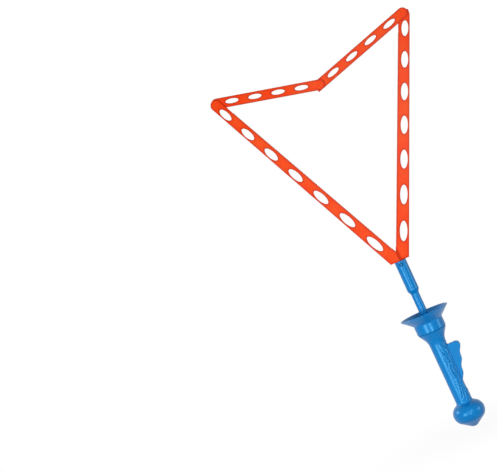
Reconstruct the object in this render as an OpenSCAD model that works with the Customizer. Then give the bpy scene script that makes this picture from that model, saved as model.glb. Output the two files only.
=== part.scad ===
// Trigger-operated bubble wand: a handle with a squeeze trigger folds a loop of four slotted arms.
// Frame: +Z runs up the wand from the grip to the loop, the loop lies in XZ, the trigger is on +X.
// The origin is the centre of the grip. All sizes are in millimetres.

/* [Handle] */
// Radius of the grip at its lower end
grip_r_low = 11.7; // [11:0.1:13]
// Radius of the grip at its upper end
grip_r_top = 12; // [11.5:0.1:13]
// Length of the grip between the pommel and the flare
grip_len = 86.4; // [84:0.1:96]
// Wall of the two handle shells
wall = 1.8; // [1.4:0.1:2.2]
// Greatest radius of the pommel
pommel_r = 22.9; // [21:0.1:25]
// Radius of the pommel's bulge in profile
bulge_r = 14.65; // [13:0.05:17]
// Drop from the widest ring of the pommel to its crease
crease_drop = 10.5; // [7:0.5:11]
// Slope of the cone below the crease, in degrees
cone_slope = 35; // [30:0.1:42]
// Radius of the rounded pommel end
nose_r = 10; // [7:0.5:12]
// Fillet between the pommel and the grip
neck_fillet = 4; // [2:0.5:6]
// Radius of the flare above the grip, in profile
flare_r = 22; // [20:0.5:26]
// Height of the rounded part of the flare
flare_round_h = 12; // [10:0.5:14]
// Height of the whole flare, up to the seam
flare_h = 20.5; // [18:0.5:24]
// Bevel along the seam, on both sides of it
seam_bevel = 0.7; // [0.3:0.1:1]
// Radius of the spigot that carries the splash guard
spigot_r = 18.8; // [17.5:0.1:19.2]
// Height of the spigot
spigot_h = 7; // [6:0.5:9]
// Thickness of the spigot's top plate and of the spring's seat
web_t = 2.5; // [2:0.1:3]

/* [Splash guard] */
// Radius of the collar
collar_r = 21.2; // [20.6:0.1:23]
// Height of the collar, from the seam to the dish
collar_h = 14.3; // [13:0.1:17]
// Radius of the dish at its rim
rim_r = 35.3; // [32:0.1:40]
// Height of the dish above the collar
dish_h = 13.4; // [11:0.1:16]
// Wall of the dish, measured upright
dish_t = 2.3; // [1.8:0.1:2.8]
// Fillet under the dish, where it leaves the collar
dish_fillet = 3; // [1:0.5:5]
// Thickness of the hub that clamps the stem
hub_t = 3; // [2:0.1:3.5]

/* [Stem] */
// Radius of the neck between the splash guard and the head
neck_r = 5.8; // [5:0.1:7]
// Length of the neck, from the hub to the taper
neck_len = 44.5; // [38:0.5:60]
// Length of the taper
taper_len = 5; // [3:0.5:8]
// Radius of the head that holds the arms
head_r = 8.4; // [8.2:0.1:9.5]
// Length of the head
head_len = 44.4; // [36:0.1:56]
// Radius of the flange under the hub
flange_r = 10; // [8:0.5:13]
// Thickness of the flange
flange_t = 3; // [2:0.1:4]
// Side wall of the head, beside the arms
head_wall = 1; // [0.8:0.1:1.1]
// Distance from the head's mouth down to the arms' pivot
pivot_depth = 4.9; // [4.5:0.1:6]

/* [Arms] */
// Length of a long arm, from pivot to pivot
long_len = 347; // [320:1:370]
// Angle of each long arm to the wand's axis, open, in degrees
open_angle = 24.85; // [22:0.05:26]
// Angle of each short arm to the wand's axis, open, in degrees
tip_angle = 74.74; // [70:0.01:78]
// Thickness of an arm
arm_t = 1.6; // [1.4:0.1:1.8]
// Gap between neighbouring arms
arm_gap = 0.3; // [0.2:0.05:0.4]
// How far each long arm laps over the wand's axis above the head
arm_lap = 1; // [0.2:0.1:1.5]
// Inner edge of a long arm from its pivot line, at the handle
long_in_base = 8.5; // [7:0.1:9]
// Inner edge of a long arm from its pivot line, at the tip
long_in_tip = 7.2; // [6:0.1:8]
// Outer edge of a long arm from its pivot line, at the handle
long_out_base = 10.3; // [9.5:0.1:11]
// Outer edge of a long arm from its pivot line, at the tip
long_out_tip = 9; // [8.2:0.1:10]
// Outward shift of a long arm's row of holes
long_row_shift = 2.5; // [2:0.1:3]
// Holes in a long arm
long_holes = 7; // [5:1:8]
// Distance from the pivot to the first hole's centre
long_first = 46.4; // [42:0.1:55]
// Distance from the last hole's centre to the tip pivot
long_last = 19.6; // [18:0.1:30]
// Share of the mean spacing by which the holes draw together towards the tip
hole_grading = 0.088; // [0:0.001:0.2]
// Length of the first hole
hole_len_base = 28.5; // [22:0.5:31]
// Length of the last hole
hole_len_tip = 21.5; // [16:0.5:24]
// Width of the first hole
hole_w_base = 10.5; // [8:0.1:11.6]
// Width of the last hole
hole_w_tip = 9.3; // [7:0.1:10.4]
// Pitch of the teeth along the inner edge
tooth_pitch = 2.9; // [2.4:0.1:4]
// Depth of the teeth
tooth_depth = 0.8; // [0.5:0.1:1.2]
// Length of the smooth edge at each end of the toothed edge
tooth_margin = 24; // [20:1:40]
// Inner edge of a short arm from its pivot line
short_in = 5.8; // [5:0.1:6.5]
// Outer edge of a short arm from its pivot line
short_out = 9.2; // [8:0.1:9.5]
// Outward shift of a short arm's row of holes
short_row_shift = 2.2; // [1.5:0.1:2.6]
// Holes in a short arm
short_holes = 4; // [3:1:5]
// Distance from the tip pivot to a short arm's first hole
short_first = 23.1; // [20:0.1:28]
// Distance from a short arm's last hole to the middle pivot
short_last = 26.2; // [22:0.1:32]
// Length of a short arm's hole
short_hole_len = 19.4; // [14:0.1:22]
// Width of a short arm's hole
short_hole_w = 6.7; // [5:0.1:8]
// How far the square ends of the rear arms run past their pivots
square_end = 6.6; // [5.5:0.1:8]

/* [Pins] */
// Radius of the arms' pivot pin and of the trigger's
pivot_pin_r = 1.5; // [1.3:0.1:1.6]
// Radius of the drive pin that works the arms
drive_pin_r = 1; // [0.9:0.1:1.1]
// Radius of the link pin in the trigger
link_pin_r = 1.25; // [1:0.05:1.4]
// Radius of a rivet
rivet_r = 2; // [1.6:0.1:2.4]
// Radius of a rivet's head
rivet_head_r = 3.2; // [2.8:0.1:3.8]
// Depth of a rivet's head, sunk in the arm
rivet_head_t = 0.6; // [0.4:0.1:0.7]
// Radius of the recess round the arms' pivot pin
recess_r = 2.9; // [2.4:0.1:3.4]
// Depth of that recess
recess_depth = 1.2; // [0.8:0.1:1.6]

/* [Drive] */
// Radius of the pull rod
rod_r = 2.5; // [2.2:0.1:2.8]
// Radius of the pull rod's collar
rod_collar_r = 4.4; // [4.2:0.1:5]
// Thickness of the pull rod's collar
rod_collar_t = 2; // [1.5:0.1:3]
// Half thickness of the pull rod's flat upper end
rod_flat = 1.7; // [1.4:0.1:1.75]
// Drive pin below the arms' pivot with the loop open
drive_open = 4; // [3.8:0.1:4.3]
// Travel of the pull rod
rod_travel = 4.5; // [4:0.1:4.8]
// Wall round the cam slots in the arms
cam_wall = 1.2; // [1:0.1:1.4]
// Mean radius of the return spring
spring_r = 3.7; // [3.5:0.05:4]
// Wire of the return spring
spring_wire = 1; // [0.8:0.1:1.1]
// Turns of the return spring
spring_turns = 7; // [5:1:8]

/* [Trigger] */
// Trigger pivot from the wand's axis
trigger_x = 6.5; // [6:0.1:7]
// Trigger pivot below the link pin
link_rise = 24; // [23:0.5:25]
// Squeeze of the trigger, in degrees
squeeze_angle = 9; // [8:0.5:10]
// Half width of the trigger
trigger_half = 4.7; // [4.5:0.1:5]
// Wall of the trigger
trigger_wall = 1.6; // [1.4:0.1:1.7]
// Reach of the trigger's nose from the wand's axis
nose_x = 28.2; // [25:0.1:32]
// Height of the nose above the link pin
nose_z = 31; // [28:0.1:33]
// Rounding of the nose
nose_round = 5.7; // [4:0.1:7]
// Top of the trigger above the link pin
trigger_top = 38.2; // [37:0.1:38.5]
// Lower end of the finger face, from the wand's axis
heel_x = 12.6; // [12.2:0.1:14]
// Lower end of the finger face below the link pin
heel_z = 16.3; // [14:0.1:18]
// Depth of the finger dips
dip_depth = 0.85; // [0:0.05:1.5]
// Number of finger dips
dips = 2.5; // [1.5:1:3.5]

/* [Pommel screw] */
// Radius of the screw's shank
screw_r = 1.3; // [1.1:0.1:1.6]
// Radius of the screw's head
screw_head_r = 2.8; // [2.4:0.1:3.2]
// Height of the screw's head
screw_head_h = 2.2; // [1.6:0.1:2.6]
// Length of the screw below its head
screw_len = 20; // [16:0.5:24]
// Distance from the seam between the shells to the screw's seat
screw_seat = 10; // [7:0.5:12]
// Wall of the bosses inside the handle
boss_wall = 1.6; // [1.4:0.1:2]

/* [Hidden] */
$fn = 64;
// Clearances: pressed pins, running pins, sliding faces and open passages
press_gap = 0.02;
run_gap = 0.05;
slide_gap = 0.08;
pass_gap = 0.3;
// More than any size here, for cuts that run out of the part
far = 400;

// Levels of the handle
grip_low = -grip_len / 2;
grip_top = grip_len / 2;
seam_z = grip_top + flare_h;
spigot_top = seam_z + spigot_h;
seat_top = grip_top + web_t;
plate_low = spigot_top - web_t;
// Levels of the stem and the splash guard
stem_low = plate_low - 0.5;
flange_top = spigot_top + flange_t;
hub_top = flange_top + hub_t;
dish_low = seam_z + collar_h;
rim_z = dish_low + dish_h;
taper_low = hub_top + neck_len;
head_low = taper_low + taper_len;
mouth_z = head_low + head_len;
pivot_z = mouth_z - pivot_depth;
// Cavity of the head
cavity_r = head_r - head_wall;
stack_half = 2 * arm_t + 1.5 * arm_gap;
cavity_half = stack_half + pass_gap;
drive_closed = drive_open + rod_travel;
cam_r = drive_pin_r + run_gap;
cavity_low = pivot_z - drive_closed - cam_r - cam_wall - 1.2;
// Triangle of the open loop
short_len = long_len * sin(open_angle) / sin(tip_angle);
tip_x = long_len * sin(open_angle);
tip_z = pivot_z + long_len * cos(open_angle);
middle_z = tip_z - short_len * cos(tip_angle);
// Half width of the arms' tails, which turn inside the head
tail_half = sqrt(cavity_r * cavity_r - stack_half * stack_half) - 2 * pass_gap;
// Levels of the pull rod, loop open
rod_top = pivot_z - pivot_pin_r - 2 * pass_gap;
rod_flat_low = cavity_low + 0.4;
collar_top = stem_low;
spring_top = collar_top - rod_collar_t;
link_z = 0;
rod_low = link_z - 2 * rod_r;
link_slot_r = link_pin_r + run_gap;
// Levels of the trigger and its opening in the grip
trigger_z = link_z - link_rise;
slot_half = trigger_half + pass_gap;
pivot_eye_r = pivot_pin_r + 2.5;
slot_low = trigger_z - pivot_eye_r - 1.5;
slot_top = trigger_top + 3;
cheek = trigger_half - trigger_wall;
// Pommel
bulge_c = pommel_r - bulge_r;
bulge_rise = sqrt(pow(bulge_r + neck_fillet, 2) - pow(grip_r_low + neck_fillet - bulge_c, 2));
bulge_z = grip_low - bulge_rise;
boss_r = screw_r + slide_gap + boss_wall;

// Points on an arc from angle a to angle b
function arc(c, r, a, b, steps) = [
    for (i = [0 : steps]) c + r * [cos(a + (b - a) * i / steps), sin(a + (b - a) * i / steps)]
];

// Front face of arm layer i, counted from the front of the wand
function layer(i) = -stack_half + i * (arm_t + arm_gap);

// Lower end of the handle's profile, drawn in by an inset
function pommel_profile(inset) =
    let (
        crease = asin(-crease_drop / bulge_r),
        crease_pt = [bulge_c, bulge_z] + bulge_r * [cos(crease), sin(crease)],
        nose_edge = nose_r * sin(cone_slope),
        nose_mid = crease_pt[1] - (crease_pt[0] - nose_edge) * tan(cone_slope) + nose_r * cos(cone_slope),
        turn = atan2(bulge_rise, grip_r_low + neck_fillet - bulge_c)
    )
    concat(
        arc([0, nose_mid], nose_r - inset, -90, cone_slope - 90, 6),
        arc([bulge_c, bulge_z], bulge_r - inset, crease, turn, 14),
        arc([grip_r_low + neck_fillet, grip_low], neck_fillet + inset, 180 + turn, 180, 8)
    );

// Upper end of the handle's profile, drawn in by an inset
function flare_profile(inset) =
    let (turn = asin(flare_round_h / flare_r))
    arc([grip_r_top + flare_r, grip_top], flare_r + inset, 180, 180 - turn, 8);

flare_lean = tan(asin(flare_round_h / flare_r));
flare_end = flare_profile(0)[8];
seam_r = flare_end[0] + (seam_z - seam_bevel - flare_end[1]) * flare_lean;
inner_end = flare_profile(wall)[8];
inner_top_r = spigot_r - wall;

module plate(y0, thick) {
    translate([0, y0 + thick, 0])
        rotate([90, 0, 0])
            linear_extrude(thick)
                children();
}

// Cylinder along Y, from y0 to y1, at the place [x, z]
module y_cylinder(place, r, y0, y1) {
    translate([place[0], y0, place[1]])
        rotate([-90, 0, 0])
            cylinder(h = y1 - y0, r = r);
}

module ellipse(width, height) {
    polygon([for (i = [0 : 35]) [width / 2 * cos(10 * i), height / 2 * sin(10 * i)]]);
}

// Band of a given half width along a path, with round ends
module slot_along(path, r) {
    n = len(path) - 1;
    function heading(i) = path[min(i + 1, n)] - path[max(i - 1, 0)];
    function side(i) = [heading(i)[1], -heading(i)[0]] / norm(heading(i)) * r;
    polygon(concat(
        [for (i = [0 : n]) path[i] + side(i)],
        [for (i = [n : -1 : 0]) path[i] - side(i)]
    ));
    translate(path[0]) circle(r);
    translate(path[n]) circle(r);
}

// Handle shells

module handle_solid() {
    rotate_extrude()
        polygon(concat(
            pommel_profile(0),
            flare_profile(0),
            [
                [seam_r, seam_z - seam_bevel],
                [seam_r - seam_bevel, seam_z],
                [spigot_r, seam_z],
                [spigot_r, spigot_top],
                [0, spigot_top]
            ]
        ));
}

module handle_hollow() {
    difference() {
        rotate_extrude()
            polygon(concat(
                pommel_profile(wall),
                flare_profile(wall),
                [
                    [inner_top_r, inner_end[1] + (inner_top_r - inner_end[0]) / flare_lean],
                    [inner_top_r, plate_low],
                    [0, plate_low]
                ]
            ));
        translate([0, 0, grip_top])
            cylinder(h = web_t, r = pommel_r);
    }
}

// Boss that grows inwards from the shell on +Y, down to y0
module boss(place, r, y0) {
    intersection() {
        handle_solid();
        y_cylinder(place, r, y0, pommel_r + 1);
    }
}

// Half of the handle on +Y, with a screw boss of a given radius
module shell(screw_boss_r) {
    difference() {
        union() {
            difference() {
                handle_solid();
                handle_hollow();
            }
            boss([trigger_x, trigger_z], pivot_pin_r + boss_wall, slot_half);
            boss([0, bulge_z], screw_boss_r, 0);
        }
        translate([-far / 2, -far, -far / 2])
            cube(far);
        translate([0, 0, grip_top - 1])
            cylinder(h = web_t + 2, r = rod_r + pass_gap);
        translate([0, 0, plate_low - 1])
            cylinder(h = web_t + 2, r = neck_r + slide_gap);
        translate([0, -slot_half, slot_low])
            cube([far, 2 * slot_half, slot_top - slot_low]);
        y_cylinder([trigger_x, trigger_z], pivot_pin_r + press_gap, 0, slot_half + 3);
    }
}

module handle_front() {
    color("dodgerblue")
        mirror([0, 1, 0])
            difference() {
                shell(boss_r);
                y_cylinder([0, bulge_z], screw_r + press_gap, -1, screw_len - screw_seat + 1);
            }
}

module handle_back() {
    color("dodgerblue")
        difference() {
            shell(screw_head_r + pass_gap + boss_wall);
            y_cylinder([0, bulge_z], screw_r + slide_gap, -1, screw_seat + 1);
            y_cylinder([0, bulge_z], screw_head_r + pass_gap, screw_seat, far);
        }
}

module pommel_screw() {
    cross_w = screw_head_r / 3;
    cross_l = screw_head_r * 1.3;
    color("silver")
        difference() {
            union() {
                y_cylinder([0, bulge_z], screw_r, screw_seat - screw_len, screw_seat + screw_head_h / 2);
                y_cylinder([0, bulge_z], screw_head_r, screw_seat, screw_seat + screw_head_h);
            }
            for (turn = [0, 90])
                translate([0, screw_seat + screw_head_h, bulge_z])
                    rotate([0, turn, 0])
                        cube([cross_w, screw_head_h, cross_l], center = true);
        }
}

// Splash guard and stem

module splash_guard() {
    rise = dish_h - dish_t / 2;
    lean = rise / (rim_r - collar_r);
    inner_r = collar_r + (hub_top - dish_low - dish_t) / lean;
    lip_r = collar_r + (dish_h - dish_t) / lean;
    collar_in = spigot_r + run_gap;
    turn = atan2(rim_r - collar_r, rise);
    fillet_z = dish_low - dish_fillet * tan(turn / 2);
    color("dodgerblue")
        rotate_extrude()
            polygon(concat(
                [[collar_r - seam_bevel, seam_z], [collar_r, seam_z + seam_bevel]],
                arc([collar_r + dish_fillet, fillet_z], dish_fillet, 180, 180 - turn, 6),
                [
                    [rim_r, rim_z - dish_t / 2],
                    [rim_r - dish_t / 4, rim_z],
                    [lip_r, rim_z],
                    [inner_r, hub_top],
                    [neck_r + slide_gap, hub_top],
                    [neck_r + slide_gap, flange_top],
                    [collar_in, flange_top],
                    [collar_in, seam_z]
                ]
            ));
}

module stem() {
    mouth_bevel = 0.6;
    color("dodgerblue")
        difference() {
            rotate_extrude()
                polygon([
                    [0, stem_low],
                    [neck_r, stem_low],
                    [neck_r, spigot_top],
                    [flange_r, spigot_top],
                    [flange_r, flange_top],
                    [neck_r, flange_top],
                    [neck_r, taper_low],
                    [head_r, head_low],
                    [head_r, mouth_z - mouth_bevel],
                    [head_r - mouth_bevel, mouth_z],
                    [0, mouth_z]
                ]);
            translate([0, 0, stem_low - 1])
                cylinder(h = cavity_low - stem_low + 2, r = rod_r + slide_gap);
            intersection() {
                translate([0, 0, cavity_low])
                    cylinder(h = far, r = cavity_r);
                translate([-far / 2, -cavity_half, cavity_low])
                    cube([far, 2 * cavity_half, far]);
            }
            y_cylinder([0, pivot_z], pivot_pin_r + press_gap, -far, head_r - recess_depth);
            y_cylinder([0, pivot_z], recess_r, -far, recess_depth - head_r);
            y_cylinder([0, pivot_z - drive_open], drive_pin_r + pass_gap, 0, far);
        }
}

module arm_pivot_pin() {
    color("dodgerblue")
        y_cylinder([0, pivot_z], pivot_pin_r, recess_depth / 2 - head_r, head_r - recess_depth);
}

// Drive inside the handle

module pull_rod() {
    color("whitesmoke")
        difference() {
            union() {
                translate([0, 0, rod_low])
                    cylinder(h = rod_top - rod_low, r = rod_r);
                translate([0, 0, spring_top])
                    cylinder(h = rod_collar_t, r = rod_collar_r);
            }
            for (side = [0, 1])
                mirror([0, side, 0])
                    translate([-far / 2, rod_flat, rod_flat_low])
                        cube(far);
            y_cylinder([0, pivot_z - drive_open], drive_pin_r + press_gap, -far, far);
            y_cylinder([0, link_z], link_pin_r + press_gap, -far, far);
        }
}

module drive_pin() {
    color("silver")
        y_cylinder([0, pivot_z - drive_open], drive_pin_r, -stack_half, stack_half);
}

module link_pin() {
    color("silver")
        y_cylinder([0, link_z], link_pin_r, -trigger_half, trigger_half);
}

module trigger_pivot_pin() {
    half = slot_half + 3;
    color("silver")
        y_cylinder([trigger_x, trigger_z], pivot_pin_r, -half, half);
}

// Helix of six-sided wire with closed ends
module return_spring() {
    sides = 6;
    rings = 8 * spring_turns;
    wire_r = spring_wire / 2;
    low = seat_top + wire_r + run_gap;
    high = spring_top - wire_r - run_gap;
    points = [
        for (i = [0 : rings])
            for (k = [0 : sides - 1])
                let (
                    a = 45 * i,
                    r = spring_r + wire_r * cos(360 / sides * k),
                    z = low + (high - low) * i / rings + wire_r * sin(360 / sides * k)
                )
                [r * cos(a), r * sin(a), z]
    ];
    strips = [
        for (i = [0 : rings - 1])
            for (k = [0 : sides - 1])
                let (a = i * sides + k, b = i * sides + (k + 1) % sides)
                each [[a, a + sides, b], [b, a + sides, b + sides]]
    ];
    caps = [
        for (k = [1 : sides - 2])
            each [[0, k, k + 1], [rings * sides, rings * sides + k + 1, rings * sides + k]]
    ];
    echo(spring_gap = (high - low) / spring_turns - spring_wire);
    color("silver")
        polyhedron(points, concat(strips, caps));
}

// Trigger

// Finger face, from the nose down to the heel, drawn in by an inset
function finger_face(inset) = [
    for (i = [0 : 24])
        let (s = i / 24, wave = dip_depth * (1 - cos(360 * dips * s)))
        [nose_x + (heel_x - nose_x) * s - wave - inset, nose_z - (nose_z + heel_z) * s]
];

// Path of the link pin through the trigger as the trigger is squeezed
link_path = [
    for (i = [0 : 6])
        let (
            a = squeeze_angle * i / 6,
            from = [-trigger_x, link_rise - rod_travel * i / 6]
        )
        [
            trigger_x + from[0] * cos(a) + from[1] * sin(a),
            trigger_z - from[0] * sin(a) + from[1] * cos(a)
        ]
];

module trigger_outline() {
    back_x = -link_slot_r - trigger_wall;
    knee_z = link_z + link_slot_r + trigger_wall;
    top_back_x = trigger_x - 1;
    polygon(concat(
        [[top_back_x, trigger_top]],
        arc([nose_x - nose_round, trigger_top - nose_round], nose_round, 90, 0, 8),
        finger_face(0),
        arc([trigger_x, trigger_z], pivot_eye_r, 0, -180, 16),
        [[back_x, link_z - rod_r], [back_x, knee_z]]
    ));
}

// Hollow of the trigger; its top is open where the pull rod passes when the trigger is squeezed
module trigger_hollow() {
    rod_room = rod_r + 2 * pass_gap - trigger_x;
    top_x = trigger_x + (rod_room + (trigger_top - trigger_z) * sin(squeeze_angle)) / cos(squeeze_angle);
    web_x = trigger_x + pivot_eye_r - trigger_wall;
    polygon(concat(
        [[-far, far], [top_x, far], [top_x, trigger_top - trigger_wall]],
        arc([nose_x - nose_round, trigger_top - nose_round], nose_round - trigger_wall, 90, 0, 8),
        finger_face(trigger_wall),
        [[web_x, trigger_z], [web_x, -far], [-far, -far]]
    ));
}

module trigger() {
    color("dodgerblue")
        difference() {
            plate(-trigger_half, 2 * trigger_half)
                difference() {
                    trigger_outline();
                    slot_along(link_path, link_slot_r);
                    translate([trigger_x, trigger_z])
                        circle(pivot_pin_r + run_gap);
                }
            plate(-cheek, 2 * cheek)
                trigger_hollow();
        }
}

// Arms

// Inner and outer edges of a long arm at height v above its pivot
function long_in(v) = long_in_base + (long_in_tip - long_in_base) * v / long_len;
function long_out(v) = -long_out_base + (long_out_base - long_out_tip) * v / long_len;

// Hole k of a long arm: its share of the row, then its place above the pivot
function long_share(k) =
    let (n = long_holes - 1, step = 1 + hole_grading, drop = 2 * hole_grading / (n - 1))
    (k * step - drop * k * (k - 1) / 2) / n;
function long_hole_v(k) = long_first + (long_len - long_first - long_last) * long_share(k);

// Long arm in its own frame, pivot at the origin, tip up, inner edge on +x
module long_blade(square_tip) {
    teeth = floor((long_len - 2 * tooth_margin) / tooth_pitch);
    tip_r = (long_in_tip + long_out_tip) / 2;
    tip_c = (long_in_tip - long_out_tip) / 2;
    difference() {
        union() {
            polygon(concat(
                [[long_out(0), 0], [long_in(0), 0]],
                [
                    for (i = [0 : teeth - 1])
                        let (v = tooth_margin + i * tooth_pitch)
                        each [[long_in(v), v], [long_in(v) - tooth_depth, v + tooth_pitch / 2]]
                ],
                [[long_in(long_len), long_len]],
                square_tip ? [[long_in_tip, long_len + square_end], [-square_end, long_len + square_end]] : [],
                [[long_out(long_len), long_len]]
            ));
            if (!square_tip)
                translate([tip_c, long_len])
                    circle(tip_r);
        }
        for (k = [0 : long_holes - 1])
            translate([-long_row_shift, long_hole_v(k)])
                ellipse(
                    hole_w_base + (hole_w_tip - hole_w_base) * k / (long_holes - 1),
                    hole_len_base + (hole_len_tip - hole_len_base) * k / (long_holes - 1)
                );
    }
}

// Path of the drive pin through a left arm's tail, open pose, pivot at the origin
cam_path = [
    for (i = [0 : 8])
        let (a = open_angle * i / 8, d = drive_open + rod_travel * i / 8)
        [d * sin(a), -d * cos(a)]
];

// Tail of the left long arm in the open pose, pivot at the origin
module tail() {
    end = cam_path[8];
    end_r = cam_r + cam_wall;
    top = pivot_depth + 4;
    difference() {
        union() {
            polygon([
                [-tail_half, top],
                [-tail_half, 0.6],
                [-tail_half + 2.2, -drive_open - cam_r],
                end + end_r * [-0.6, -0.8],
                end,
                end + [end_r, 0],
                [tail_half, -0.6],
                [tail_half / 2, pivot_depth - pivot_pin_r],
                [arm_lap, pivot_depth + pass_gap],
                [arm_lap, top]
            ]);
            translate(end)
                circle(end_r);
        }
        slot_along(cam_path, cam_r);
    }
}

// Left long arm in the open pose, pivot at the origin; its shoulder rests on the head's mouth
module long_arm_outline(square_tip) {
    difference() {
        union() {
            difference() {
                rotate(open_angle)
                    long_blade(square_tip);
                translate([-far / 2, -far + pivot_depth + run_gap])
                    square(far);
                translate([arm_lap, -far / 2])
                    square([far, far / 2 + pivot_depth + 2 * long_in_base]);
            }
            tail();
        }
        circle(pivot_pin_r + run_gap);
    }
}

// Long arm in a layer, with a sunk seat for its rivet's head on the outer face
module long_arm(y0, square_tip) {
    difference() {
        translate([0, 0, pivot_z])
            plate(y0, arm_t)
                long_arm_outline(square_tip);
        y_cylinder([-tip_x, tip_z], rivet_r + press_gap, -far, far);
        y_cylinder([-tip_x, tip_z], rivet_head_r + press_gap, -far, y0 + rivet_head_t);
    }
}

module left_long_arm() {
    color("orangered")
        long_arm(layer(0), false);
}

// The right arm is the left one turned half round the wand's axis
module right_long_arm() {
    color("orangered")
        rotate([0, 0, 180])
            long_arm(layer(0), true);
}

// Short arm in its own frame, tip pivot at the origin, middle pivot up, inner edge on +x
module short_outline(square_tip) {
    end_r = (short_in + short_out) / 2;
    end_c = (short_in - short_out) / 2;
    run = short_len - short_first - short_last;
    difference() {
        union() {
            translate([-short_out, 0])
                square([short_in + short_out, short_len + (square_tip ? square_end : 0)]);
            translate([end_c, 0])
                circle(end_r);
            if (!square_tip)
                translate([end_c, short_len])
                    circle(end_r);
        }
        for (k = [0 : short_holes - 1])
            translate([-short_row_shift, short_first + run * k / (short_holes - 1)])
                ellipse(short_hole_w, short_hole_len);
    }
}

// Left short arm in a layer; the tip rivet turns in it and the middle rivet is pressed in
module short_arm(y0, square_tip) {
    back = y0 + arm_t;
    difference() {
        translate([-tip_x, 0, tip_z])
            rotate([0, -180 - tip_angle, 0])
                plate(y0, arm_t)
                    short_outline(square_tip);
        y_cylinder([-tip_x, tip_z], rivet_r + run_gap, -far, far);
        y_cylinder([-tip_x, tip_z], rivet_head_r + run_gap, back - rivet_head_t - run_gap, far);
        y_cylinder([0, middle_z], rivet_r + press_gap, -far, far);
        y_cylinder([0, middle_z], rivet_head_r + press_gap, -far, y0 + rivet_head_t);
    }
}

module left_short_arm() {
    color("orangered")
        short_arm(layer(1), false);
}

module right_short_arm() {
    color("orangered")
        rotate([0, 0, 180])
            short_arm(layer(1), true);
}

// Rivet that joins the left long and short arms, flush on both faces
module tip_rivet() {
    front = layer(0);
    back = layer(1) + arm_t;
    color("orangered")
        union() {
            y_cylinder([-tip_x, tip_z], rivet_r, front, back);
            y_cylinder([-tip_x, tip_z], rivet_head_r, front, front + rivet_head_t);
            y_cylinder([-tip_x, tip_z], rivet_head_r, back - rivet_head_t, back);
        }
}

// Half of the middle rivet; the two halves meet between the short arms
module middle_rivet() {
    color("orangered")
        union() {
            y_cylinder([0, middle_z], rivet_r, layer(1), -run_gap);
            y_cylinder([0, middle_z], rivet_head_r, layer(1), layer(1) + rivet_head_t);
        }
}

module left_tip_rivet() {
    tip_rivet();
}

module right_tip_rivet() {
    rotate([0, 0, 180])
        tip_rivet();
}

module middle_rivet_front() {
    middle_rivet();
}

module middle_rivet_back() {
    rotate([0, 0, 180])
        middle_rivet();
}

handle_front();
handle_back();
pommel_screw();
splash_guard();
stem();
pull_rod();
drive_pin();
link_pin();
return_spring();
trigger();
trigger_pivot_pin();
arm_pivot_pin();
left_long_arm();
right_long_arm();
left_short_arm();
right_short_arm();
left_tip_rivet();
right_tip_rivet();
middle_rivet_front();
middle_rivet_back();
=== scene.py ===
from math import asin, atan2, cos, degrees, exp, floor, hypot, pi, radians, sin, sqrt, tan
from types import SimpleNamespace

import bmesh
import bpy
import numpy as np
from mathutils import Matrix, Vector, noise
from mathutils.geometry import delaunay_2d_cdt


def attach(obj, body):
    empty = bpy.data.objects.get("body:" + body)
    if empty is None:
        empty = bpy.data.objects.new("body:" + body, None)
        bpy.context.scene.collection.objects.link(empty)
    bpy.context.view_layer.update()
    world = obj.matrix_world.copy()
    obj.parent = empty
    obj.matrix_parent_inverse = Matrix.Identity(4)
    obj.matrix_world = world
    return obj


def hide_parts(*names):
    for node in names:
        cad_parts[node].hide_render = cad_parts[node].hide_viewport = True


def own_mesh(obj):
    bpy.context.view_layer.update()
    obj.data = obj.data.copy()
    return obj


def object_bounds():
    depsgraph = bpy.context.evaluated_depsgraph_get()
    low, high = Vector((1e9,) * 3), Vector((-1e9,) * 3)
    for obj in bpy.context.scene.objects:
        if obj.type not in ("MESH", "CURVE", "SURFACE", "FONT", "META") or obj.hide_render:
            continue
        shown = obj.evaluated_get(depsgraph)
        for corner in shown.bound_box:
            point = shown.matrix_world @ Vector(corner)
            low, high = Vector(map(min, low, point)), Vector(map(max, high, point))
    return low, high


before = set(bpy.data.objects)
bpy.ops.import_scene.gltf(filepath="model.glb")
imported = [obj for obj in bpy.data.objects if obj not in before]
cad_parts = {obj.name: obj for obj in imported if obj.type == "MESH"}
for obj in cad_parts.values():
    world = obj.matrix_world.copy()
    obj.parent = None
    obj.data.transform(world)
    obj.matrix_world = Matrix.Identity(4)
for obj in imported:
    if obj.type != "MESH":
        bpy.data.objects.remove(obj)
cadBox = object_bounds()
scene = bpy.context.scene
scene.view_settings.view_transform = "Standard"
mm = 0.001


def named(values):  # lets v.name stand for v["name"]
    return SimpleNamespace(**values)


# Camera: the wand leans in the picture, so the camera is rolled and the wand stays upright

cameraValues = {
    "focalPx": 1200,
    "imageWidth": 497,
    "sensor": 36.0,
    "distance": 1.680,
    "yaw": -12.44,
    "pitch": -1.5,
    "roll": 24.44,
    "offset": (0.2142, -0.0393),
    "aimHeight": 0.1657,
}


def placeCamera(v):
    lens = bpy.data.cameras.new("photoCamera")
    lens.sensor_width = v.sensor
    lens.lens = v.focalPx / v.imageWidth * v.sensor
    camera = bpy.data.objects.new("photoCamera", lens)
    scene.collection.objects.link(camera)
    upright = Matrix(((1, 0, 0), (0, 0, 1), (0, -1, 0)))
    swing = Matrix.Rotation(radians(v.yaw), 3, "Y")
    nod = Matrix.Rotation(radians(v.pitch), 3, "X")
    tilt = Matrix.Rotation(radians(v.roll), 3, "Z")
    turn = (tilt @ nod @ swing @ upright).transposed()
    across, up = v.offset
    place = turn @ Vector((-across, -up, v.distance)) + Vector((0, 0, v.aimHeight))
    camera.matrix_world = Matrix.Translation(place) @ turn.to_4x4()
    scene.camera = camera


placeCamera(named(cameraValues))
print("camera placed")

# Shader helpers


def srgb(red, green, blue):
    def linear(c):
        c = c / 255
        return c / 12.92 if c < 0.04045 else ((c + 0.055) / 1.055) ** 2.4
    return (linear(red), linear(green), linear(blue), 1.0)


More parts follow.
